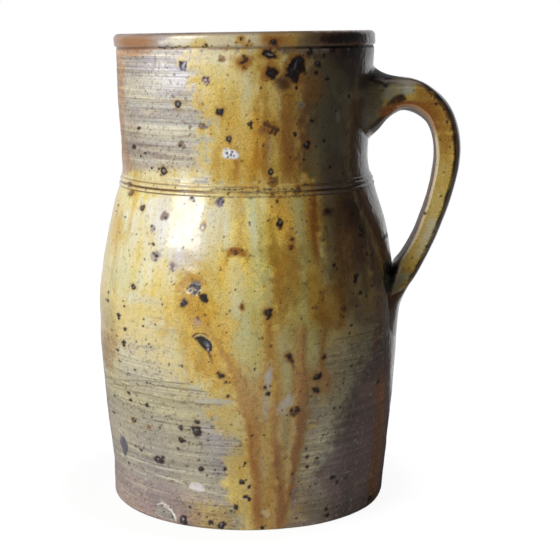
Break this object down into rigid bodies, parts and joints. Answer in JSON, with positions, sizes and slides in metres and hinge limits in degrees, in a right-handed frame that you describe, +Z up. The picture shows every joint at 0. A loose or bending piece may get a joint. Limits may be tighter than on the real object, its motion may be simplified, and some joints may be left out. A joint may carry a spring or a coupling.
{
  "type": "stoneware jug",
  "caption": "Tall ash-glazed stoneware jug with a swelling belly, a wide straight neck, a cordon at the shoulder and one strap handle.",
  "frame": {"origin": "middle of the flat foot, on the surface that the jug stands on", "axes": "+Z up the jug's axis to the mouth, +X from the axis toward the handle, the handle lies in the XZ plane"},
  "size_m": [0.1947, 0.162, 0.25],
  "materials": {
    "belly_glaze": "gloss ash glaze with runs and iron spots",
    "neck_glaze": "gloss ash glaze, drier at the sides",
    "cordon_glaze": "gloss ash glaze, broken pale on the ridges",
    "handle_glaze": "gloss ochre glaze"
  },
  "bodies": {
    "root": {"lower_body": "belly_glaze", "neck": "neck_glaze", "shoulder_cordon": "cordon_glaze", "handle_root": "neck_glaze", "handle_strap": "handle_glaze", "handle_tail": "handle_glaze"}
  },
  "joints": []
}
